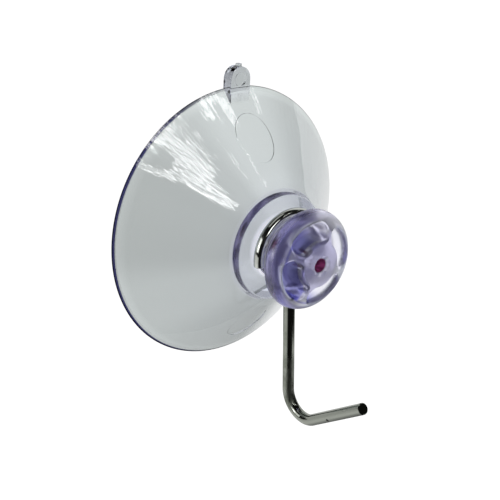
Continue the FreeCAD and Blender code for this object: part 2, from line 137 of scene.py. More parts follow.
def as_object(mesh: bmesh.types.BMesh, name: str) -> bpy.types.Object:
    """Makes an object of a mesh.

    Args:
        mesh: The mesh, which is freed.
        name: The object's name.

    Returns:
        The object, in the scene.
    """
    data = bpy.data.meshes.new(name)
    mesh.to_mesh(data)
    mesh.free()
    piece = bpy.data.objects.new(name, data)
    bpy.context.scene.collection.objects.link(piece)
    return piece


def solid(loops: Sequence[Sequence[Vector]], name: str) -> bpy.types.Object:
    """Joins closed loops of points into one closed solid.

    Args:
        loops: The loops in order, all with as many points. One point alone is a pole. Any other loop at an
            end gets a face over it.
        name: The object's name.

    Returns:
        The solid, with its faces pointing outwards.
    """
    mesh = bmesh.new()
    rows = [[mesh.verts.new(p) for p in loop] for loop in loops]
    for low, high in zip(rows, rows[1:]):
        count = max(len(low), len(high))
        for i in range(count):
            j = (i + 1) % count
            corners = [low[i], low[j]] if len(low) > 1 else [low[0]]
            corners += [high[j], high[i]] if len(high) > 1 else [high[0]]
            mesh.faces.new(corners)
    for end in (rows[0][::-1], rows[-1]):
        if len(end) > 1:
            mesh.faces.new(end)
    bmesh.ops.recalc_face_normals(mesh, faces=mesh.faces)
    return as_object(mesh, name)


def turned(points: Sequence[Point], around: int, name: str) -> bpy.types.Object:
    """Turns an outline about the cup's axis.

    Args:
        points: The outline, which starts and ends on the axis.
        around: How many sides the round gets.
        name: The object's name.

    Returns:
        The turned solid.
    """
    loops = []
    for radius, depth in points:
        turns = full_turn(around) if radius > SAME_PLACE else [0.0]
        loops.append([Vector((radius * math.cos(t), -depth, radius * math.sin(t))) for t in turns])
    return solid(loops, name)


def evaluated_copy(piece: bpy.types.Object) -> bpy.types.Object:
    """Turns what an object's modifiers make into a plain mesh.

    Args:
        piece: The object, which is removed.

    Returns:
        A new object with the plain mesh.
    """
    evaluated = piece.evaluated_get(bpy.context.evaluated_depsgraph_get())
    made = bpy.data.objects.new(piece.name, bpy.data.meshes.new_from_object(evaluated))
    bpy.context.scene.collection.objects.link(made)
    piece.modifiers.clear()
    bpy.data.objects.remove(piece)
    return made


# Node trees


class Nodes:
    """Adds nodes to a tree."""

    def __init__(self, tree: bpy.types.NodeTree) -> None:
        """Takes the tree that the nodes go in."""
        self.tree = tree

    def feed(self, socket: bpy.types.NodeSocket, source: object) -> None:
        """Joins an input to a source, or gives it a value.

        Args:
            socket: The input.
            source: Another node's output, a signal or a plain value.
        """
        if isinstance(source, Signal):
            source = source.socket
        if isinstance(source, bpy.types.NodeSocket):
            self.tree.links.new(source, socket)
        else:
            socket.default_value = source

    def node(self, kind: str, feeds: dict | None = None, **settings: object) -> bpy.types.Node:
        """Adds a node.

        Args:
            kind: The node's type.
            feeds: A source or a value for each input, by the input's name or place.
            **settings: The node's properties.

        Returns:
            The node.
        """
        made = self.tree.nodes.new(kind)
        for key, setting in settings.items():
            setattr(made, key, setting)
        for key, source in (feeds or {}).items():
            self.feed(made.inputs[key], source)
        return made


class Join(Enum):
    """How one solid is joined with another."""

    ADD = "UNION"
    CUT = "DIFFERENCE"


class Socket(Enum):
    """Kinds of input that a tree of Geometry Nodes takes."""

    GEOMETRY = "NodeSocketGeometry"
    OBJECT = "NodeSocketObject"
    NUMBER = "NodeSocketFloat"
    WHOLE = "NodeSocketInt"
    MATERIAL = "NodeSocketMaterial"


class Tree(Nodes):
    """A tree of Geometry Nodes that takes a geometry, a material and some named inputs."""

    def __init__(self, name: str, inputs: dict[str, Socket]) -> None:
        """Makes an empty tree.

        Args:
            name: The tree's name.
            inputs: The kind of each named input.
        """
        super().__init__(bpy.data.node_groups.new(name, "GeometryNodeTree"))
        face = self.tree.interface
        face.new_socket("Geometry", in_out="OUTPUT", socket_type=Socket.GEOMETRY.value)
        for label, kind in {"Geometry": Socket.GEOMETRY, **inputs, "Material": Socket.MATERIAL}.items():
            face.new_socket(label, in_out="INPUT", socket_type=kind.value)
        self.given = self.node("NodeGroupInput").outputs

    def close(self, geometry: bpy.types.NodeSocket) -> "Tree":
        """Ends the tree by making its copies real and giving them the material.

        Args:
            geometry: What the tree has made.

        Returns:
            The tree.
        """
        whole = self.node("GeometryNodeRealizeInstances", {0: geometry}).outputs[0]
        feeds = {"Geometry": whole, "Material": self.given["Material"]}
        paint = self.node("GeometryNodeSetMaterial", feeds)
        self.node("NodeGroupOutput", {"Geometry": paint.outputs["Geometry"]})
        return self

    def apply(self, piece: bpy.types.Object, values: dict[str, object]) -> bpy.types.Object:
        """Runs the tree on an object and keeps the result as a plain mesh.

        Args:
            piece: The object that the tree works on, which is removed.
            values: A value for each named input.

        Returns:
            A new object with the result.
        """
        modifier = piece.modifiers.new(self.tree.name, "NODES")
        modifier.node_group = self.tree
        for item in self.tree.interface.items_tree:
            if item.item_type == "SOCKET" and item.in_out == "INPUT" and item.name in values:
                modifier[item.identifier] = values[item.name]
        piece.update_tag()
        bpy.context.view_layer.update()
        return evaluated_copy(piece)


def cut_round_axis_tree() -> Tree:
    """A tree that cuts evenly turned copies of a cutter out of a solid, all round the cup's axis.

    Returns:
        The tree, with the inputs Cutter, Count, First turn and Material.
    """
    inputs = {"Cutter": Socket.OBJECT, "Count": Socket.WHOLE, "First turn": Socket.NUMBER}
    tree = Tree("cut_round_axis", inputs)
    given = tree.given
    points = tree.node("GeometryNodeMeshLine", {"Count": given["Count"], "Offset": (0, 0, 0)})
    cutter = tree.node("GeometryNodeObjectInfo", {"Object": given["Cutter"]})
    index = tree.node("GeometryNodeInputIndex").outputs[0]
    share = tree.node("ShaderNodeMath", {0: index, 1: given["Count"]}, operation="DIVIDE")
    turn = tree.node(
        "ShaderNodeMath",
        {0: share.outputs[0], 1: -2 * math.pi, 2: given["First turn"]},
        operation="MULTIPLY_ADD",
    )
    feeds = {
        "Points": points.outputs["Mesh"],
        "Instance": cutter.outputs["Geometry"],
        "Rotation": tree.node("ShaderNodeCombineXYZ", {"Y": turn.outputs[0]}).outputs[0],
    }
    place = tree.node("GeometryNodeInstanceOnPoints", feeds)
    copies = tree.node("GeometryNodeRealizeInstances", {0: place.outputs["Instances"]})
    cut = tree.node(
        "GeometryNodeMeshBoolean",
        {"Mesh 1": given["Geometry"], "Mesh 2": copies.outputs[0]},
        operation=Join.CUT.value,
    )
    return tree.close(cut.outputs["Mesh"])


def round_wire_tree() -> Tree:
    """A tree that gives a line the round section of a wire, thinner where the line's own radius is.

    Returns:
        The tree, with the inputs Wire radius, Sides and Material.
    """
    tree = Tree("round_wire", {"Wire radius": Socket.NUMBER, "Sides": Socket.WHOLE})
    given = tree.given
    section = tree.node(
        "GeometryNodeCurvePrimitiveCircle",
        {"Radius": given["Wire radius"], "Resolution": given["Sides"]},
    )
    feeds = {
        "Curve": given["Geometry"],
        "Profile Curve": section.outputs["Curve"],
        "Scale": tree.node("GeometryNodeInputRadius").outputs[0],
        "Fill Caps": True,
    }
    return tree.close(tree.node("GeometryNodeCurveToMesh", feeds).outputs["Mesh"])


class Signal:
    """A number, vector or colour that a shader node puts out. A sum written with it adds nodes."""

    def __init__(self, pen: "Shading", socket: bpy.types.NodeSocket) -> None:
        """Takes what adds the nodes, and the output that the signal comes from."""
        self.pen = pen
        self.socket = socket

    def __add__(self, other: object) -> "Signal":
        """This and another."""
        return self.pen.math("ADD", self, other)

    def __sub__(self, other: object) -> "Signal":
        """This less another."""
        return self.pen.math("SUBTRACT", self, other)

    def __rsub__(self, other: object) -> "Signal":
        """A value less this."""
        return self.pen.math("SUBTRACT", other, self)

    def __mul__(self, other: object) -> "Signal":
        """This times another."""
        return self.pen.math("MULTIPLY", self, other)

    def __truediv__(self, other: object) -> "Signal":
        """This divided by another."""
        return self.pen.math("DIVIDE", self, other)

    def or_more(self, other: object) -> "Signal":
        """The greater of this and another."""
        return self.pen.math("MAXIMUM", self, other)

    def spread(self, span: Span, low: object, high: object) -> "Signal":
        """Maps a range smoothly to another one, and stays within that.

        Args:
            span: The range of this signal.
            low: What comes out at its start and before.
            high: What comes out at its end and beyond.

        Returns:
            The new signal.
        """
        feeds = {"Value": self, "From Min": span[0], "From Max": span[1], "To Min": low, "To Max": high}
        made = self.pen.node("ShaderNodeMapRange", feeds, interpolation_type="SMOOTHSTEP")
        return Signal(self.pen, made.outputs["Result"])

    def rise(self, span: Span) -> "Signal":
        """Nought before a range and one beyond it."""
        return self.spread(span, 0.0, 1.0)

    def fall(self, span: Span) -> "Signal":
        """One before a range and nought beyond it."""
        return self.spread(span, 1.0, 0.0)

    def band(self, span: Span, soft: float) -> "Signal":
        """One inside a range with soft edges, and nought elsewhere."""
        low, high = span
        return self.rise((low - soft / 2, low + soft / 2)) * self.fall((high - soft / 2, high + soft / 2))


class Shading(Nodes):
    """Adds shader nodes to a material, a world or a group, with few words for each."""

    def output(self, kind: str, label: str | int, feeds: dict | None = None, **settings: object) -> Signal:
        """One output of a new node."""
        return Signal(self, self.node(kind, feeds, **settings).outputs[label])

    def math(self, operation: str, *sources: object) -> Signal:
        """A sum of one to three numbers."""
        return self.output("ShaderNodeMath", 0, dict(enumerate(sources)), operation=operation)

    def vector(self, operation: str, *sources: object) -> Signal:
        """A sum of vectors."""
        label = "Value" if operation in ("LENGTH", "DOT_PRODUCT", "DISTANCE") else "Vector"
        return self.output("ShaderNodeVectorMath", label, dict(enumerate(sources)), operation=operation)

    def join(self, x: object, y: object, z: object) -> Signal:
        """A vector of three parts."""
        return self.output("ShaderNodeCombineXYZ", 0, {0: x, 1: y, 2: z})

    def split(self, source: Signal) -> list[Signal]:
        """The three parts of a vector."""
        made = self.node("ShaderNodeSeparateXYZ", {0: source})
        return [Signal(self, part) for part in made.outputs]

    def noise(self, place: object, scale: float, detail: float, rough: float = 0.5) -> Signal:
        """Smooth noise from 0 to 1."""
        feeds = {"Vector": place, "Scale": scale, "Detail": detail, "Roughness": rough}
        return self.output("ShaderNodeTexNoise", "Fac", feeds)

    def bump(self, height: Signal, strength: float, distance: float) -> Signal:
        """A normal that a height tilts."""
        feeds = {"Strength": strength, "Distance": distance, "Height": height}
        return self.output("ShaderNodeBump", "Normal", feeds)

    def layers(self, base: object, *over: tuple[Signal, Colour]) -> Signal:
        """Lays colours over one another.

        Args:
            base: The colour below.
            *over: For each colour above, where it lies, from nought to one, and the colour.

        Returns:
            The mixed colour.
        """
        for mask, colour in over:
            base = self.output("ShaderNodeMix", 2, {0: mask, 6: base, 7: (*colour, 1)}, data_type="RGBA")
        return base

    def ramp(self, source: Signal, stops: Sequence[tuple[float, float]]) -> Signal:
        """A smooth curve.

        Args:
            source: How far along the curve, from 0 to 1.
            stops: Places along the curve in order, and the value at each.

        Returns:
            The value.
        """
        made = self.node("ShaderNodeValToRGB", {0: source})
        made.color_ramp.interpolation = "EASE"
        elements = made.color_ramp.elements
        while len(elements) < len(stops):
            elements.new(0.5)
        for element, (place, value) in zip(elements, stops):
            element.position = place
            element.color = (value, value, value, 1)
        return Signal(self, made.outputs[0])

    def ray(self, kind: str) -> Signal:
        """One for a kind of ray, and nought for the others."""
        return self.output("ShaderNodeLightPath", f"Is {kind} Ray")

    def handling(self, group: bpy.types.NodeTree, place: Signal, size: float, share: float) -> list[Signal]:
        """The pits and the haze that handling leaves.

        Args:
            group: The group of handling marks.
            place: Where on the piece.
            size: How far apart the pits may lie, in millimetres.
            share: How many of the pits there are, from 0 to 1.

        Returns:
            The pits and the haze, both from 0 to 1.
        """
        feeds = {"Place": place, "Pit size": size, "Pit share": share}
        made = self.node("ShaderNodeGroup", feeds, node_tree=group)
        return [Signal(self, made.outputs[label]) for label in ("Pits", "Haze")]

    def dress(self, feeds: dict[str, object]) -> None:
        """Feeds the inputs of the material's own shader."""
        for label, source in feeds.items():
            self.feed(self.tree.nodes["Principled BSDF"].inputs[label], source)


class Place:
    """Where a point of a piece lies, in millimetres from the middle of the wall face."""

    # Distances from the axis are divided by, so none is less than this.
    LEAST_RADIUS = 0.5

    def __init__(self, pen: Shading) -> None:
        """Reads the place from the piece's own coordinates.

        Args:
            pen: What adds the nodes.
        """
        where = pen.output("ShaderNodeTexCoord", "Object")
        feeds = {0: where, "Scale": 1 / MM}
        self.at = pen.output("ShaderNodeVectorMath", "Vector", feeds, operation="SCALE")
        self.x, self.y, self.z = pen.split(self.at)
        self.radius = pen.vector("LENGTH", pen.join(self.x, 0.0, self.z)).or_more(self.LEAST_RADIUS)
        self.depth = self.y * -1.0


@dataclass(frozen=True)
class HandlingMarks:
    """The fine marks that handling leaves: small pits and a faint patchy haze."""

    pit_edge: Span = (0.12, 0.34)
    haze_scale: float = 0.35
    haze_detail: float = 4.0
    haze_rough: float = 0.6
    haze_edge: Span = (0.4, 0.65)

    def group(self) -> bpy.types.NodeTree:
        """Builds the group.

        Returns:
            The group. It takes Place, Pit size and Pit share, and puts out Pits and Haze, both from 0 to 1.
        """
        group = bpy.data.node_groups.new("handling_marks", "ShaderNodeTree")
        face = group.interface
        face.new_socket("Place", in_out="INPUT", socket_type="NodeSocketVector")
        for label in ("Pit size", "Pit share"):
            face.new_socket(label, in_out="INPUT", socket_type="NodeSocketFloat")
        for label in ("Pits", "Haze"):
            face.new_socket(label, in_out="OUTPUT", socket_type="NodeSocketFloat")
        pen = Shading(group)
        given = pen.node("NodeGroupInput").outputs
        feeds = {"Vector": given["Place"], "Scale": pen.math("DIVIDE", 1.0, given["Pit size"])}
        cells = pen.node("ShaderNodeTexVoronoi", feeds, feature="F1").outputs
        spot = Signal(pen, cells["Distance"]).fall(self.pit_edge)
        chance = pen.math("LESS_THAN", pen.split(cells["Color"])[0], given["Pit share"])
        haze = pen.noise(given["Place"], self.haze_scale, self.haze_detail, self.haze_rough)
        pen.node("NodeGroupOutput", {"Pits": spot * chance, "Haze": haze.rise(self.haze_edge)})
        return group


# Finishes


@dataclass(frozen=True)
class ClearVinyl:
    """Soft clear vinyl, violet where thick, with faint radial flow lines; its surface tints are painted light
    and shade.
    """

    # The plastic itself
    body: Colour = (0.15, 0.11, 0.48)
    body_density: float = 48.0
    refraction: float = 1.53

    # Tints of the surface. The hub's is near clear; the others are painted light and shade.
    # Painted shade: the thin wall greyed, as though a dimmer room showed through it
    wall: Colour = (0.50, 0.535, 0.52)
    hub: Colour = (0.96, 0.97, 1.0)
    # Painted shade: a dark navy line along the rim, on its left side only
    rim: Colour = (0.004, 0.004, 0.03)
    # Painted shade: the clear collar greyed, less than the wall
    collar: Colour = (0.62, 0.66, 0.68)
    # Painted shade: dark violet on the collar's side and the ledge behind it
    edge: Colour = (0.2, 0.19, 0.28)
    # Painted shade: violet on the head's side, on its left half only
    head_left_painted_shade: Colour = (0.42, 0.41, 0.66)
    # Painted shade: blue in the head's left pockets, darkest on their outer walls
    pocket: Colour = (0.3, 0.3, 0.8)
    pocket_wall_painted_shade: Colour = (0.05, 0.05, 0.45)
    # Painted shade: dark crimson in the pin hole
    hole: Colour = (0.035, 0.001, 0.008)

    # Painted light and shade: how light the wall is at angles round the axis, in degrees from the right, and
    # the lip and the tab by it
    painted_light_tones: tuple[tuple[float, float], ...] = (
        (0, 1.08), (30, 1.06), (55, 1.12), (78, 1.3), (100, 1.3), (118, 1.08), (145, 0.9), (178, 0.86),
        (197, 0.99), (215, 1.0), (240, 0.92), (265, 0.93), (300, 1.1), (330, 1.1), (360, 1.08),
    )
    lip_painted_light: float = 1.1
    tab_painted_shade: float = 0.7

    # Where the tints lie: distances from the axis
    core: Span = (6.0, 7.5)
    collar_inside: Span = (6.7, 7.2)
    pocket_outside: Span = (7.2, 7.7)
    lip_inside: Span = (27.6, 28.6)
    rim_shade_line: Span = (29.52, 30.02)
    rim_shade_soft: float = 0.06
    tab_root: Span = (29.9, 30.4)

    # Where they lie: depths from the wall
    hub_start: Span = (15.6, 15.9)
    collar_depth: Span = (15.7, 18.1)
    collar_soft: float = 0.3
    dome_start: Span = (26.0, 26.6)

    # Where they lie: from one side to the other, as shares of the distance from the axis
    rim_shade_left: Span = (-0.5, 0.5)
    hub_shade_left: Span = (-0.4, 0.4)

    # Zones of the hub, each from one distance from the axis to another and from one depth to another
    collar_zone: tuple[Span, Span] = ((10.9, 12.0), (15.75, 17.6))
    head_zone: tuple[Span, Span] = ((9.2, 11.0), (23.6, 31.0))
    pocket_zone: tuple[Span, Span] = ((4.6, 8.5), (24.4, 28.3))
    hole_zone: tuple[Span, Span] = ((-1.0, 1.95), (24.0, 29.5))
    zone_soft: tuple[float, float] = (0.5, 0.4)

    # Roughness
    roughness: float = 0.012
    haze: float = 0.02
    satin: float = 0.2
    pocket_satin: float = 0.35
    dome_satin: float = 0.27

    # Relief of the wall, full towards the upper left and calmer on the other side
    flow_lines: float = 18.0
    flow_detail: float = 2.0
    flow_rough: float = 0.55
    flow_height: float = 0.0024
    wave_lines: float = 3.0
    wave_detail: float = 1.0
    wave_rough: float = 0.5
    wave_height: float = 0.0035
    along_wall: float = 0.09
    lively_way: tuple[float, float, float] = (-0.7, 0.0, 0.7)
    lively_span: Span = (-0.2, 0.4)
    calm_side: float = 0.2
    relief_start: Span = (12.0, 13.0)
    pit_size: float = 3.1
    pit_share: float = 0.05
    pit_depth: float = 0.004

    def zone(self, place: Place, limits: tuple[Span, Span]) -> Signal:
        """One inside a zone of the hub, and nought elsewhere."""
        across, along = self.zone_soft
        return place.radius.band(limits[0], across) * place.depth.band(limits[1], along)

    def colour(self, pen: Shading, place: Place) -> Signal:
        """The tint at the plastic's surface: painted light and shade, but near clear on the hub.

        Args:
            pen: What adds the nodes.
            place: Where on the piece.

        Returns:
            The colour.
        """
        aside, above = place.x / place.radius, place.z / place.radius
        angle = pen.math("FRACT", pen.math("ARCTAN2", above, aside) * (0.5 / math.pi) + 1.0)
        # Painted light and shade round the axis. A ramp holds values up to 1, so the tones go through it
        # halved.
        lit = pen.ramp(angle, [(degrees / 360, tone / 2) for degrees, tone in self.painted_light_tones]) * 2.0
        lit = lit * place.radius.spread(self.lip_inside, 1.0, self.lip_painted_light)
        lit = lit * place.radius.spread(self.tab_root, 1.0, self.tab_painted_shade)
        # The painted shade on the head's side and in its pockets lies on the left half only
        left = aside.fall(self.hub_shade_left)
        left_pocket_painted_shade = self.zone(place, self.pocket_zone) * left
        on_collar = place.depth.band(self.collar_depth, self.collar_soft)
        return pen.layers(
            # Painted shade: the wall's grey, lighter and darker round the axis
            pen.vector("MULTIPLY", self.wall, pen.join(lit, lit, lit)),
            (place.radius.fall(self.core).or_more(place.depth.rise(self.hub_start)), self.hub),
            # Painted shade: the dark line on the rim's left side
            (place.radius.band(self.rim_shade_line, self.rim_shade_soft) * aside.fall(self.rim_shade_left), self.rim),
            # Painted shade: the collar greyed
            (place.radius.rise(self.collar_inside) * on_collar, self.collar),
            # Painted shade: dark violet on the collar's side
            (self.zone(place, self.collar_zone), self.edge),
            # Painted shade: violet on the head's left side
            (self.zone(place, self.head_zone) * left, self.head_left_painted_shade),
            # Painted shade: blue in the left pockets, darker on their outer walls
            (left_pocket_painted_shade, self.pocket),
            (place.radius.rise(self.pocket_outside) * left_pocket_painted_shade, self.pocket_wall_painted_shade),
            # Painted shade: dark crimson in the pin hole
            (self.zone(place, self.hole_zone), self.hole),
        )

    def relief(self, pen: Shading, place: Place, pits: Signal) -> Signal:
        """The fine relief of the wall, in millimetres.

        Args:
            pen: What adds the nodes.
            place: Where on the piece.
            pits: Where the surface is pitted.

        Returns:
            The height.
        """
        round_axis = pen.join(place.x / place.radius, 0.0, place.z / place.radius)
        along = pen.join(0.0, place.radius * self.along_wall, 0.0)
        height = pits * -self.pit_depth
        side = pen.vector("DOT_PRODUCT", round_axis, self.lively_way)
        side = side.spread(self.lively_span, self.calm_side, 1.0)
        for lines, detail, rough, reach in (
            (self.flow_lines, self.flow_detail, self.flow_rough, self.flow_height),
            (self.wave_lines, self.wave_detail, self.wave_rough, self.wave_height),
        ):
            where = pen.vector("ADD", pen.vector("MULTIPLY", round_axis, (lines, 0, lines)), along)
            height = height + pen.noise(where, 1.0, detail, rough) * reach * (place.radius * side)
        return height * place.radius.rise(self.relief_start)

    def material(self, marks: bpy.types.NodeTree) -> bpy.types.Material:
        """Builds the material.

        Args:
            marks: The group of handling marks.

        Returns:
            The material.
        """
        made = bpy.data.materials.new("clear_vinyl")
        made.use_nodes = True
        pen = Shading(made.node_tree)
        place = Place(pen)
        pits, haze = pen.handling(marks, place.at, self.pit_size, self.pit_share)
        satin = self.zone(place, self.collar_zone).or_more(self.zone(place, self.head_zone)) * self.satin
        satin = satin.or_more(place.depth.rise(self.dome_start) * self.dome_satin)
        satin = satin.or_more(self.zone(place, self.pocket_zone) * self.pocket_satin)
        pen.dress(
            {
                "Base Color": self.colour(pen, place),
                "Roughness": satin + (haze * self.haze + self.roughness),
                "Normal": pen.bump(self.relief(pen, place, pits), 1.0, MM),
                "IOR": self.refraction,
                "Transmission Weight": 1.0,
            }
        )
        feeds = {"Color": (*self.body, 1), "Density": self.body_density}
        inside = pen.output("ShaderNodeVolumeAbsorption", 0, feeds)
        pen.feed(made.node_tree.nodes["Material Output"].inputs["Volume"], inside)
        return made


@dataclass(frozen=True)
class PlatedWire:
    """Bright plated wire, dull and pitted low on the shank, painted lighter on its ring and foot and painted
    darker on the ring's inner and back side.
    """

    bright: Colour = (0.27, 0.285, 0.25)
    dull: Colour = (0.20, 0.215, 0.18)
    # Painted light: the ring's wire lighter than the rest of the wire
    ring: Colour = (0.55, 0.57, 0.53)
    # Painted light: the foot and the tip a little lighter than the shank
    foot: Colour = (0.29, 0.305, 0.27)
    pit: Colour = (0.03, 0.03, 0.03)
    # Painted shade: how dark the ring's inner and back side is made
    ring_painted_shade: float = 0.8

    # Where the tints lie: heights above the axis, depths from the wall, and distances from the axis
    ring_low: Span = (-9.5, -8.5)
    shank_high: Span = (-27.0, -22.0)
    shank_low: Span = (-38.0, -36.0)
    foot_start: Span = (22.0, 23.0)
    # Where the ring's painted shade lies: behind this depth, and inside this distance from the axis
    ring_shade_back: Span = (19.4, 19.9)
    ring_shade_inside: Span = (7.3, 7.9)

    # The nick under the tip: its middle, and how far it reaches
    nick: tuple[float, float, float] = (-1.1, -33.83, -33.44)
    nick_edge: Span = (0.25, 0.5)

    # Roughness
    roughness: float = 0.06
    haze: float = 0.08
    pit_roughness: float = 0.3
    worn_roughness: float = 0.42
    worn_scale: tuple[float, float, float] = (0.9, 0.9, 0.25)
    worn_detail: float = 2.0
    worn_edge: Span = (0.3, 0.6)
    least_worn: float = 0.4

    # Relief: pits, and faint lines along the wire
    pit_size: float = 0.55
    pit_share: float = 0.3
    drawn_scale: tuple[float, float, float] = (3.0, 3.0, 0.4)
    drawn_detail: float = 3.0
    drawn_height: float = 0.12
    relief: float = 0.6
    relief_depth: float = 0.05

    def material(self, marks: bpy.types.NodeTree) -> bpy.types.Material:
        """Builds the material.

        Args:
            marks: The group of handling marks.

        Returns:
            The material.
        """
        made = bpy.data.materials.new("plated_wire")
        made.use_nodes = True
        pen = Shading(made.node_tree)
        place = Place(pen)
        pits, haze = pen.handling(marks, place.at, self.pit_size, self.pit_share)
        foot = place.depth.rise(self.foot_start)
        on_shank = place.z.fall(self.shank_high) * place.z.rise(self.shank_low) * (1.0 - foot)
        nick = pen.vector("DISTANCE", place.at, self.nick).fall(self.nick_edge)
        pitted = (pits * on_shank).or_more(nick)
        # The ring, where the wire is painted lighter, and its inner and back side painted darker
        in_ring = place.z.rise(self.ring_low)
        # Painted shade on the ring's back side and inner side
        inner = place.depth.fall(self.ring_shade_back).or_more(place.radius.fall(self.ring_shade_inside))
        worn = pen.noise(pen.vector("MULTIPLY", place.at, self.worn_scale), 1.0, self.worn_detail)
        worn = on_shank * worn.spread(self.worn_edge, self.least_worn, 1.0)
        drawn = pen.noise(pen.vector("MULTIPLY", place.at, self.drawn_scale), 1.0, self.drawn_detail)
        rough = haze * self.haze + self.roughness
        pen.dress(
            {
                "Base Color": pen.layers(
                    (*self.bright, 1),
                    (haze, self.dull),
                    # Painted light: the ring lighter
                    (in_ring, self.ring),
                    # Painted light: the foot and the tip a little lighter
                    (foot, self.foot),
                    # Pits and the nick are wear; the ring's inner and back side is painted shade
                    (pitted.or_more(inner * in_ring * self.ring_painted_shade), self.pit),
                ),
                "Roughness": pitted * self.pit_roughness + (worn * self.worn_roughness + rough),
                "Normal": pen.bump(drawn * self.drawn_height - pitted, self.relief, self.relief_depth * MM),
                "Metallic": 1.0,
            }
        )
        return made


# The two pieces


@dataclass
class Piece:
    """What both pieces share: the node and body that they stand for, and their finish."""

    node: str
    body: str
    slot: str
    material: bpy.types.Material

    def seat(self, made: bpy.types.Object, name: str, sharp: float) -> None:
        """Brings a finished mesh to metres, smooths it, and puts it on its body in place of its node.

        Args:
            made: The object, with its mesh in millimetres.
            name: The piece's name.
            sharp: Edges that turn by more than this stay sharp, in degrees.
        """
        made.name = name
        made.data.name = name
        made.data.transform(Matrix.Scale(MM, 4))
        made.data.shade_smooth()
        made.data.set_sharp_from_angle(angle=math.radians(sharp))
        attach(made, self.body)
        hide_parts(self.node)
        LOG.info("%s: %d faces, on body %s", name, len(made.data.polygons), self.body)


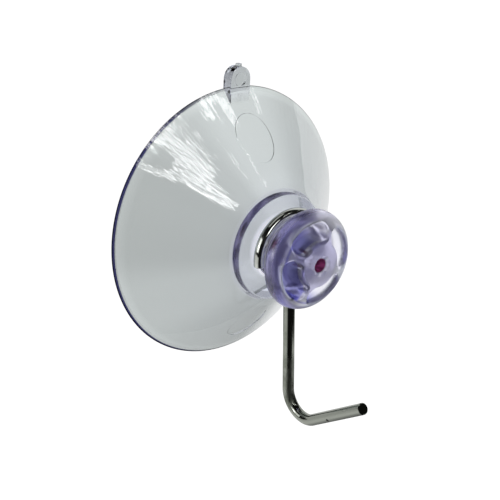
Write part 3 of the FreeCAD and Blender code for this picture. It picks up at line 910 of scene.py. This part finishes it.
@dataclass
class ClearCup(Piece):
    """The clear moulding: a cone with a lip, a collar, a neck, a domed head and a pull tab."""

    rim: float = 30.0
    lip_band: float = 1.0
    lip_round: float = 0.3
    cone_height: float = 15.7
    shoulder: float = 12.0
    shoulder_round: float = 0.5
    wall_taper: float = 2.2
    crown: float = 20.0
    hub_floor: float = 2.6
    collar: float = 11.3
    collar_thickness: float = 2.1
    collar_round: float = 0.35
    neck: float = 6.45
    neck_root: float = 0.4
    groove: float = 5.9
    head: float = 10.5
    head_height: float = 6.5
    head_back_round: float = 1.6
    head_shoulder: float = 3.0
    pocket_inner: float = 4.9
    pocket_outer: float = 8.4
    pocket_half_span: float = 23.0
    pocket_turn: float = 21.0
    pocket_draft: float = 8.0
    pocket_height: float = 4.0
    pocket_floor: float = 1.2
    pocket_root: float = 1.2
    pocket_lip: float = 0.8
    pocket_lip_end: float = 72.0
    pocket_flare: Point = (0.3, 0.6)
    pocket_count: int = 4
    hole: float = 1.45
    hole_depth: float = 5.5
    hole_mouth: float = 2.2
    hole_mouth_depth: float = 0.7
    tab_width: float = 5.3
    tab_reach: float = 1.9
    tab_thickness: float = 2.4
    tab_lift: float = 0.2
    tab_round: float = 0.3
    tab_root: float = 0.75
    tab_slant: float = 1.17
    dimple: float = 1.45
    dimple_depth: float = 0.45
    gate: float = 0.65
    gate_height: float = 0.5
    mark: float = 4.3
    mark_inset: float = 9.1
    mark_depth: float = 0.12
    mark_count: int = 2
    turn: float = 3.5

    # How fine the mesh is: sides of each round, and degrees that a side of each arc turns
    around: int = 288
    peg_sides: int = 48
    mark_sides: int = 72
    mark_rings: int = 10
    pocket_sides: int = 24
    pocket_end_sides: int = 16
    pocket_root_step: float = 12.0
    pocket_lip_step: float = 9.0
    tab_sides: int = 6
    tab_edge_step: float = 15.0
    tab_end_step: float = 6.0
    crown_step: float = 3.0
    head_step: float = 6.0
    dome_step: float = 1.5
    sharp: float = 28.0

    @property
    def collar_front(self) -> float:
        """Depth of the collar's front."""
        return self.cone_height + self.collar_thickness

    @property
    def head_back(self) -> float:
        """Depth of the head's back."""
        return self.collar_front + self.groove

    @property
    def head_front(self) -> float:
        """Depth of the middle of the dome."""
        return self.head_back + self.head_height

    @property
    def cone_slope(self) -> float:
        """Slope of the cone above the wall, in degrees."""
        return math.degrees(math.atan2(self.cone_height - self.lip_round, self.rim - self.shoulder))

    @property
    def shoulder_centre(self) -> Point:
        """Centre of the arc at the head's shoulder: from the axis, and from the end of the back's round."""
        return self.head - self.head_shoulder, self.head_height - self.head_back_round

    @property
    def dome(self) -> float:
        """Radius of the dome, which runs smoothly into the shoulder's arc."""
        out, rise = self.shoulder_centre
        return (out**2 + rise**2 - self.head_shoulder**2) / (2 * (rise - self.head_shoulder))

    def form(self) -> list[Point]:
        """The outline of the turned form, from the hollow's top round the lip to the pin hole's floor.

        Returns:
            The outline's points.
        """
        band = self.rim - self.lip_round - self.lip_band
        top = self.collar_front - self.hub_floor
        slope = self.cone_slope - self.wall_taper
        tilt = math.radians(slope)
        flat = band - top / math.tan(tilt) - self.crown * math.tan(tilt / 2)
        line = Outline((0.0, top)).line((flat, top))
        line.arc((flat, top - self.crown), 90, 90 - slope, self.crown, self.crown_step)
        line.line((band, 0.0)).line((self.rim - self.lip_round, 0.0))
        line.arc((self.rim - self.lip_round, self.lip_round), -90, 0, self.lip_round)
        self.add_shoulder(line)
        edge = self.collar_round
        line.line((self.collar, self.cone_height)).line((self.collar, self.collar_front - edge))
        line.arc((self.collar - edge, self.collar_front - edge), 0, 90, edge)
        root = self.neck_root
        line.line((self.neck + root, self.collar_front))
        line.arc((self.neck + root, self.collar_front + root), 270, 180, root)
        line.line((self.neck, self.head_back - root))
        line.arc((self.neck + root, self.head_back - root), 180, 90, root)
        self.add_head(line)
        return line.points

    def add_shoulder(self, line: Outline) -> None:
        """Adds the cone's wall and the rounded corner between it and the ledge behind the collar.

        Args:
            line: The outline, which has reached the lip.
        """
        slope, edge = self.cone_slope, self.shoulder_round
        tilt = math.radians(slope)
        reach = edge * math.tan(tilt / 2)
        line.line((self.shoulder + reach * math.cos(tilt), self.cone_height - reach * math.sin(tilt)))
        line.arc((self.shoulder - reach, self.cone_height - edge), 90 - slope, 90, edge)

    def add_head(self, line: Outline) -> None:
        """Adds the head: its back, its side, the dome and the pin hole.

        Args:
            line: The outline, which has reached the neck.
        """
        back, (out, rise) = self.head_back_round, self.shoulder_centre
        line.line((self.head - back, self.head_back))
        line.arc((self.head - back, self.head_back + back), -90, 0, back, self.head_step)
        meet = math.degrees(math.atan2(self.dome - rise, out))
        line.arc((out, self.head_back + back), 0, meet, self.head_shoulder, self.head_step)
        mouth = math.degrees(math.acos(self.hole_mouth / self.dome))
        line.arc((0.0, self.head_front - self.dome), meet, mouth, self.dome, self.dome_step)
        lip = line.points[-1][1]
        line.line((self.hole, lip - self.hole_mouth_depth))
        line.line((self.hole, self.head_front - self.hole_depth))
        line.line((0.0, self.head_front - self.hole_depth))

    def dome_depth(self, radius: float) -> float:
        """Depth of the dome or the shoulder's arc at a distance from the axis.

        Args:
            radius: The distance from the axis.

        Returns:
            The depth from the wall.
        """
        out, rise = self.shoulder_centre
        if radius <= self.dome * math.sin(math.atan2(out, self.dome - rise)):
            return self.head_front - self.dome + math.sqrt(self.dome**2 - radius**2)
        drop = max(0.0, self.head_shoulder**2 - (radius - out) ** 2)
        return self.head_back + self.head_back_round + math.sqrt(drop)

    def pocket_cutter(self) -> bpy.types.Object:
        """The cutter of one pocket: a kidney that narrows inwards, with a rounded floor and lip.

        Returns:
            The cutter.
        """
        draft = self.pocket_height * math.tan(math.radians(self.pocket_draft))
        root, lip = self.pocket_root, self.pocket_lip
        layers = [
            (root * (1 - math.sin(a)) + draft, root * (1 - math.cos(a)), 0.0)
            for a in steps(0.0, 90.0, self.pocket_root_step)
        ]
        layers += [
            (-lip * (1 - math.cos(a)), lip * (math.sin(a) - 1), 1.0)
            for a in steps(0.0, self.pocket_lip_end, self.pocket_lip_step)
        ]
        flare, rise = self.pocket_flare
        layers.append((layers[-1][0] - flare, rise, 1.0))
        return solid([self.pocket_loop(*layer) for layer in layers], "pocket")

    def pocket_loop(self, inset: float, rise: float, share: float) -> list[Vector]:
        """One closed line round a pocket.

        Args:
            inset: How far inside the pocket's mouth the line lies.
            rise: How far outwards it lies from the floor or the dome.
            share: Nought for a line near the floor, one for a line near the dome.

        Returns:
            The points of the line.
        """
        floor = self.head_back + self.pocket_floor
        middle = (self.pocket_outer + self.pocket_inner) / 2
        cap = (self.pocket_outer - self.pocket_inner) / 2 - inset
        half = math.radians(self.pocket_half_span)
        over, up = middle * math.cos(half), middle * math.sin(half)
        sides, ends = self.pocket_sides, self.pocket_end_sides
        points = arc_points((0.0, 0.0), middle + cap, -half, 2 * half, sides)
        points += arc_points((over, up), cap, half, math.pi, ends)
        points += arc_points((0.0, 0.0), middle - cap, half, -2 * half, sides)
        points += arc_points((over, -up), cap, -half + math.pi, math.pi, ends)
        depths = [floor + (self.dome_depth(math.hypot(x, z)) - floor) * share + rise for x, z in points]
        return [Vector((x, -depth, z)) for (x, z), depth in zip(points, depths)]

    def mark_cutter(self) -> bpy.types.Object:
        """The cutter of one pin mark: a slip of the cone's surface, sunk a little into it.

        Returns:
            The cutter.
        """
        rise, run = self.cone_height - self.lip_round, self.rim - self.shoulder
        sunk = self.mark_depth * math.hypot(rise, run) / run
        centre = self.rim - self.mark_inset
        shares = [(i / self.mark_rings, -sunk) for i in range(self.mark_rings + 1)]
        loops = []
        for share, lift in (*shares, (1.0, 1.0)):
            loop = []
            for angle in full_turn(self.mark_sides) if share else [0.0]:
                x, z = self.mark * share * math.cos(angle), centre + self.mark * share * math.sin(angle)
                depth = self.lip_round + (self.rim - math.hypot(x, z)) * rise / run
                loop.append(Vector((x, -(depth + lift), z)))
            loops.append(loop)
        return solid(loops, "pin_mark")

    def tab(self) -> bpy.types.Object:
        """The pull tab, rooted in the cone's wall, with the outline of its face rounded.

        Returns:
            The tab.
        """
        centre = self.rim + self.tab_reach
        face = self.tab_lift + self.tab_thickness
        edge, sides = self.tab_round, self.tab_sides
        layers = [(0.0, self.tab_lift)]
        layers += [
            (edge * (1 - math.cos(a)), face - edge * (1 - math.sin(a)))
            for a in steps(0.0, 90.0, self.tab_edge_step)
        ]
        loops = []
        for inset, depth in layers:
            root = self.rim - self.tab_root - (depth - self.tab_lift) * self.tab_slant
            reach = self.tab_width / 2 - inset
            line = [(reach, root + (centre - root) * i / sides) for i in range(sides)]
            line += [
                (reach * math.cos(a), centre + reach * math.sin(a))
                for a in steps(0.0, 180.0, self.tab_end_step)
            ]
            line += [(-reach, centre + (root - centre) * (i + 1) / sides) for i in range(sides)]
            loops.append([Vector((x, -depth, z)) for x, z in line])
        return solid(loops, "tab")

    def peg(self, name: str, radius: float, start: Point, end: Point) -> bpy.types.Object:
        """A short round peg above the axis.

        Args:
            name: The object's name.
            radius: The peg's radius.
            start: Height and depth of the middle of one end.
            end: Height and depth of the middle of the other end.

        Returns:
            The peg.
        """
        ends = [Vector((0, -depth, height)) for height, depth in (start, end)]
        axis = (ends[1] - ends[0]).normalized()
        side = axis.orthogonal().normalized()
        other = axis.cross(side)
        turns = full_turn(self.peg_sides)
        loops = [
            [at + side * radius * math.cos(t) + other * radius * math.sin(t) for t in turns] for at in ends
        ]
        return solid(loops, name)

    def combine(self, base: bpy.types.Object, other: bpy.types.Object, join: Join) -> bpy.types.Object:
        """Adds a solid to another, or cuts it out of it.

        Args:
            base: The solid that stays.
            other: The solid that is added or cut out. It is removed.
            join: Whether it is added or cut out.

        Returns:
            The result, as a new object.
        """
        modifier = base.modifiers.new("combine", "BOOLEAN")
        modifier.operation = join.value
        modifier.object = other
        modifier.solver = "EXACT"
        made = evaluated_copy(base)
        bpy.data.objects.remove(other)
        return made

    def build(self) -> None:
        """Builds the moulding."""
        made = turned(self.form(), self.around, "cup")
        made = self.combine(made, self.tab(), Join.ADD)
        centre = self.rim + self.tab_reach
        face = self.tab_lift + self.tab_thickness
        end, stub_depth = centre + self.tab_width / 2, face - self.tab_round - self.gate
        low, high = end - self.gate_height, end + self.gate_height
        stub = self.peg("stub", self.gate, (low, stub_depth), (high, stub_depth))
        made = self.combine(made, stub, Join.ADD)
        dimple = self.peg("dimple", self.dimple, (centre, face - self.dimple_depth), (centre, face + 1))
        made = self.combine(made, dimple, Join.CUT)
        tree = cut_round_axis_tree()
        for cutter, count, turn in (
            (self.pocket_cutter(), self.pocket_count, -math.radians(self.pocket_turn)),
            (self.mark_cutter(), self.mark_count, 0.0),
        ):
            values = {"Cutter": cutter, "Count": count, "First turn": turn, "Material": self.material}
            made = tree.apply(made, values)
            bpy.data.objects.remove(cutter)
        made.data.transform(Matrix.Rotation(math.radians(self.turn), 4, "Y"))
        self.seat(made, "clear_cup", self.sharp)


@dataclass
class WireHook(Piece):
    """The hook: an open ring round the neck, a bend, the shank, the foot's bend and the rising tip."""

    wire: float = 1.25
    ring: float = 8.0
    ring_depth: float = 20.3
    ring_end: float = 187.0
    ring_bend: float = 3.0
    shank_drop: float = 41.8
    foot_bend: float = 5.1
    tip_length: float = 27.1
    tip_rise: float = 33.8
    chamfer: float = 0.15

    # How fine the mesh is: sides of the wire, runs of each straight, and degrees that a run of a bend turns
    sides: int = 56
    shank_runs: int = 12
    tip_runs: int = 8
    arc_step: float = 4.0
    bend_step: float = 5.0
    sharp: float = 35.0

    def route(self) -> list[Vector]:
        """The wire's middle line, from the ring's cut end to the tip's.

        Returns:
            The line's points.
        """
        ring, bend, foot = self.ring, self.ring_bend, self.foot_bend
        drop = math.sqrt((ring + bend) ** 2 - bend**2)
        joint = math.degrees(math.atan2(-drop, bend))
        foot_top = self.shank_drop - foot * math.tan(math.radians(90 + self.tip_rise) / 2)
        points = [
            Vector((ring * math.cos(a), 0, ring * math.sin(a)))
            for a in steps(self.ring_end, joint, self.arc_step)
        ]
        points += [
            Vector((bend * (1 + math.cos(a)), 0, bend * math.sin(a) - drop))
            for a in steps(joint + 180, 180.0, self.bend_step)[1:]
        ]
        runs = self.shank_runs
        points += [Vector((0, 0, -drop + (drop - foot_top) * i / runs)) for i in range(1, runs)]
        points += [
            Vector((0, foot * (math.cos(a) - 1), foot * math.sin(a) - foot_top))
            for a in steps(0.0, -90 - self.tip_rise, self.arc_step)
        ]
        rise, reach, start = math.radians(self.tip_rise), self.tip_length, points[-1]
        end = Vector((0, -reach * math.cos(rise), reach * math.sin(rise) - self.shank_drop))
        points += [start.lerp(end, i / self.tip_runs) for i in range(1, self.tip_runs + 1)]
        return [p - Vector((0, self.ring_depth, 0)) for p in points]

    def build(self) -> None:
        """Builds the hook, with a small chamfer on both ends of the wire."""
        points = self.route()
        first = points[0].lerp(points[1], self.chamfer / (points[1] - points[0]).length)
        last = points[-1].lerp(points[-2], self.chamfer / (points[-1] - points[-2]).length)
        points.insert(1, first)
        points.insert(-1, last)
        data = bpy.data.curves.new("hook_line", "CURVE")
        data.dimensions = "3D"
        spline = data.splines.new("POLY")
        spline.points.add(len(points) - 1)
        for knot, point in zip(spline.points, points):
            knot.co = (*point, 1)
            knot.radius = 1.0
        for knot in (spline.points[0], spline.points[-1]):
            knot.radius = (self.wire - self.chamfer) / self.wire
        line = bpy.data.objects.new("hook_line", data)
        bpy.context.scene.collection.objects.link(line)
        values = {"Wire radius": self.wire, "Sides": self.sides, "Material": self.material}
        made = round_wire_tree().apply(line, values)
        self.seat(made, "plated_hook", self.sharp)


# The studio


@dataclass(frozen=True)
class CameraPlace:
    """Where the camera stands, from the outlines in the photograph."""

    azimuth: float = -39.46
    elevation: float = 24.06
    roll: float = -0.31
    distance: float = 240.0
    across: float = 4.837
    up: float = -6.07
    focal_pixels: float = 1107.1
    frame_pixels: float = 500.0
    sensor: float = 36.0
    clip: Span = (0.01, 20.0)

    def build(self) -> None:
        """Makes the camera and looks through it."""
        a, e, roll = (math.radians(v) for v in (self.azimuth, self.elevation, self.roll))
        back = Vector((math.sin(a) * math.cos(e), -math.cos(a) * math.cos(e), math.sin(e)))
        level = Vector((math.cos(a), math.sin(a), 0))
        above = back.cross(level)
        right = level * math.cos(roll) + above * math.sin(roll)
        upward = above * math.cos(roll) - level * math.sin(roll)
        data = bpy.data.cameras.new("camera")
        data.sensor_width = self.sensor
        data.lens = self.focal_pixels / self.frame_pixels * self.sensor
        data.clip_start, data.clip_end = self.clip
        camera = bpy.data.objects.new("camera", data)
        bpy.context.scene.collection.objects.link(camera)
        place = Matrix((right, upward, back)).transposed().to_4x4()
        place.translation = (back * self.distance + right * self.across + upward * self.up) * MM
        camera.matrix_world = place
        bpy.context.scene.camera = camera


@dataclass(frozen=True)
class Softbox:
    """A flat lamp that faces the part, with its place and size in metres."""

    name: str
    place: tuple[float, float, float]
    across: tuple[float, float, float]
    width: float
    height: float
    brightness: float

    def build(self) -> None:
        """Makes the lamp."""
        data = bpy.data.lights.new(self.name, "AREA")
        data.shape = "RECTANGLE"
        data.size, data.size_y = self.width, self.height
        data.energy = self.brightness * math.pi * self.width * self.height
        lamp = bpy.data.objects.new(self.name, data)
        bpy.context.scene.collection.objects.link(lamp)
        way = Vector(self.place).normalized()
        side = Vector(self.across)
        side = (side - way * side.dot(way)).normalized()
        turn = Matrix((side, way.cross(side), way)).transposed().to_4x4()
        turn.translation = Vector(self.place)
        lamp.matrix_world = turn


@dataclass(frozen=True)
class Window:
    """A window high on the left whose panes are mirrored on the cone, at a distance in metres."""

    towards: tuple[float, float, float] = (-0.10185, -0.67222, 0.73332)
    along: tuple[float, float, float] = (0.898, 0.254, 0.358)
    distance: float = 0.6

    # Each pane is broken into strips, about as far apart as pitch, and a share of that wide.
    pitch: float = 30.0
    share: float = 0.55

    # Each pane: its place along and up the window, its width and height in mm, its turn and brightness
    panes: tuple[tuple[float, float, float, float, float, float], ...] = (
        (-255, -20, 106, 18, -29, 14.0),
        (-168, -26, 116, 52, 2, 14.0),
        (-182, 29, 155, 16, 0, 13.0),
        (-58, 8, 112, 56, 3, 12.0),
        (22, 6, 12, 60, 3, 14.0),
        (52, 10, 8, 50, -4, 14.0),
        (78, 10, 10, 60, 2, 10.0),
        (110, 16, 8, 40, -3, 12.0),
        (200, -42, 10, 44, 0, 12.0),
        (285, -18, 76, 18, -10, 10.0),
        (376, -106, 10, 44, 0, 12.0),
        (430, -58, 110, 22, -25, 8.0),
    )

    def softboxes(self) -> Iterable[Softbox]:
        """The strips of the window's panes.

        Returns:
            A lamp for each strip.
        """
        way, along = Vector(self.towards).normalized(), Vector(self.along).normalized()
        up = way.cross(along)
        for i, (a, b, width, height, turn, brightness) in enumerate(self.panes):
            place = way * self.distance + (along * a + up * b) * MM
            turn = math.radians(turn)
            across = along * math.cos(turn) + up * math.sin(turn)
            count = max(1, round(width / self.pitch))
            for k in range(count):
                at = place + across * (width * ((k + 0.5) / count - 0.5) * MM)
                wide = width / count * self.share * MM
                name = f"pane_{i + 1}_{k + 1}"
                yield Softbox(name, tuple(at), tuple(across), wide, height * MM, brightness)


@dataclass(frozen=True)
class Studio:
    """A pale floor far below, a pale backdrop, a dim room in front, and the lamps."""

    facing: float = -39.46

    # The floor and the backdrop, in metres to the right of the part and away from the camera or up
    floor_drop: float = 0.32
    floor_outline: tuple[Point, ...] = (
        (-3.0, -1.5), (-0.66, -1.5), (0.12, 0.2), (1.5, 0.2), (1.5, 1.4), (-3.0, 1.4),
    )
    backdrop_outline: tuple[Point, ...] = ((-3.0, -0.32), (1.5, -0.32), (1.5, 1.6), (-3.0, 1.6))
    backdrop_distance: float = 1.4
    matt_white: float = 0.9

    # How bright they are where the part mirrors them, and where on the floor that starts
    mirrored_white: float = 0.75
    floor_back: float = 0.2
    edge_softness: float = 0.25

    # The room: how bright it is as light, where mirrored, and seen through the part above, aside and in front
    room: float = 0.06
    mirrored_room: float = 0.012
    ceiling: float = 0.55
    ceiling_start: Span = (0.12, 0.55)
    sides: float = 0.95
    sides_start: Span = (0.5, 0.8)
    front: float = 0.85
    front_end: Span = (-0.6, 0.0)

    lamps: tuple[Softbox, ...] = (
        Softbox("small_window", (0.47, -0.16, 0.355), (0.0, 1.0, 0.0), 0.02, 0.02, 5.0),
        Softbox("left_panel", (-0.60, 0.15, 0.18), (0.0, 1.0, 0.0), 0.5, 0.36, 1.7),
        Softbox("left_window", (-0.58, 0.10, 0.15), (0.0, 1.0, 0.0), 0.12, 0.08, 8.0),
        Softbox("side_panel", (0.105, -0.09, -0.145), (0.635, 0.772, 0.0), 0.16, 0.1, 0.8),
        Softbox("overhead", (-0.05, 0.10, 0.60), (1.0, 0.0, 0.0), 0.5, 0.2, 0.6),
    )

    @property
    def right(self) -> Vector:
        """The level way to the camera's right."""
        turn = math.radians(self.facing)
        return Vector((math.cos(turn), math.sin(turn), 0))

    @property
    def away(self) -> Vector:
        """The level way that the camera looks."""
        turn = math.radians(self.facing)
        return Vector((-math.sin(turn), math.cos(turn), 0))

    def white(self) -> bpy.types.Material:
        """The floor's and backdrop's material: white to look at, and matt white for the light.

        Returns:
            The material.
        """
        made = bpy.data.materials.new("studio_white")
        made.use_nodes = True
        pen = Shading(made.node_tree)
        made.node_tree.nodes.remove(made.node_tree.nodes["Principled BSDF"])
        first, last = (Vector(p) for p in self.floor_outline[1:3])
        inward = Vector((first.y - last.y, last.x - first.x)).normalized()
        where = pen.output("ShaderNodeTexCoord", "Object")
        inside = pen.vector("DOT_PRODUCT", where, self.right * inward.x + self.away * inward.y)
        behind = pen.vector("DOT_PRODUCT", where, self.away)
        lit = (inside - first.dot(inward)).rise((0.0, self.edge_softness))
        lit = lit.or_more(behind.rise((self.floor_back, self.floor_back + self.edge_softness)))
        mirrored = pen.ray("Glossy") * lit * self.mirrored_white
        strength = pen.ray("Camera").or_more(pen.ray("Transmission")).or_more(mirrored)
        glow = pen.output("ShaderNodeEmission", 0, {"Strength": strength})
        matt = pen.output("ShaderNodeBsdfDiffuse", 0, {"Color": (*[self.matt_white] * 3, 1)})
        both = pen.output("ShaderNodeAddShader", 0, {0: matt, 1: glow})
        pen.feed(made.node_tree.nodes["Material Output"].inputs["Surface"], both)
        return made

    def sheet(self, name: str, corners: Iterable[Vector], material: bpy.types.Material) -> None:
        """Makes one flat sheet of the studio.

        Args:
            name: The sheet's name.
            corners: Its corners in order.
            material: Its material.
        """
        mesh = bmesh.new()
        mesh.faces.new([mesh.verts.new(c) for c in corners])
        piece = as_object(mesh, name)
        piece.data.materials.append(material)

    def world(self) -> None:
        """The room: white behind the part, dimmer above, and dim where the part mirrors it."""
        made = bpy.data.worlds.new("studio_room")
        bpy.context.scene.world = made
        made.use_nodes = True
        pen = Shading(made.node_tree)
        way = pen.output("ShaderNodeTexCoord", "Generated")
        aside = pen.math("ABSOLUTE", pen.vector("DOT_PRODUCT", way, self.right))
        ahead = pen.vector("DOT_PRODUCT", way, self.away)
        through = pen.split(way)[2].spread(self.ceiling_start, 1.0, self.ceiling)
        through = through * aside.spread(self.sides_start, 1.0, self.sides)
        through = through * ahead.spread(self.front_end, self.front, 1.0)
        level = (through * pen.ray("Transmission")).or_more(pen.ray("Camera"))
        level = level.or_more(pen.ray("Glossy") * (self.mirrored_room - self.room) + self.room)
        light = made.node_tree.nodes["Background"]
        light.inputs["Color"].default_value = (1, 1, 1, 1)
        pen.feed(light.inputs["Strength"], level)

    def build(self) -> None:
        """Makes the floor, the backdrop, the room and the lamps."""
        right, away, up = self.right, self.away, Vector((0, 0, 1))
        white = self.white()
        floor = [right * r + away * f - up * self.floor_drop for r, f in self.floor_outline]
        self.sheet("floor", floor, white)
        backdrop = [right * r + away * self.backdrop_distance + up * h for r, h in self.backdrop_outline]
        self.sheet("backdrop", backdrop, white)
        self.world()
        for lamp in (*self.lamps, *Window().softboxes()):
            lamp.build()
        bpy.context.scene.view_settings.view_transform = "Standard"


def main() -> None:
    """Builds the studio and both pieces, and reports each."""
    logging.basicConfig(level=logging.INFO, format="%(name)s: %(message)s")
    CameraPlace().build()
    Studio().build()
    marks = HandlingMarks().group()
    ClearCup("suction_cup", "cup", "clear_plastic", ClearVinyl().material(marks)).build()
    WireHook("wire_hook", "hook", "plated_wire", PlatedWire().material(marks)).build()


if __name__ == "__main__":
    main()
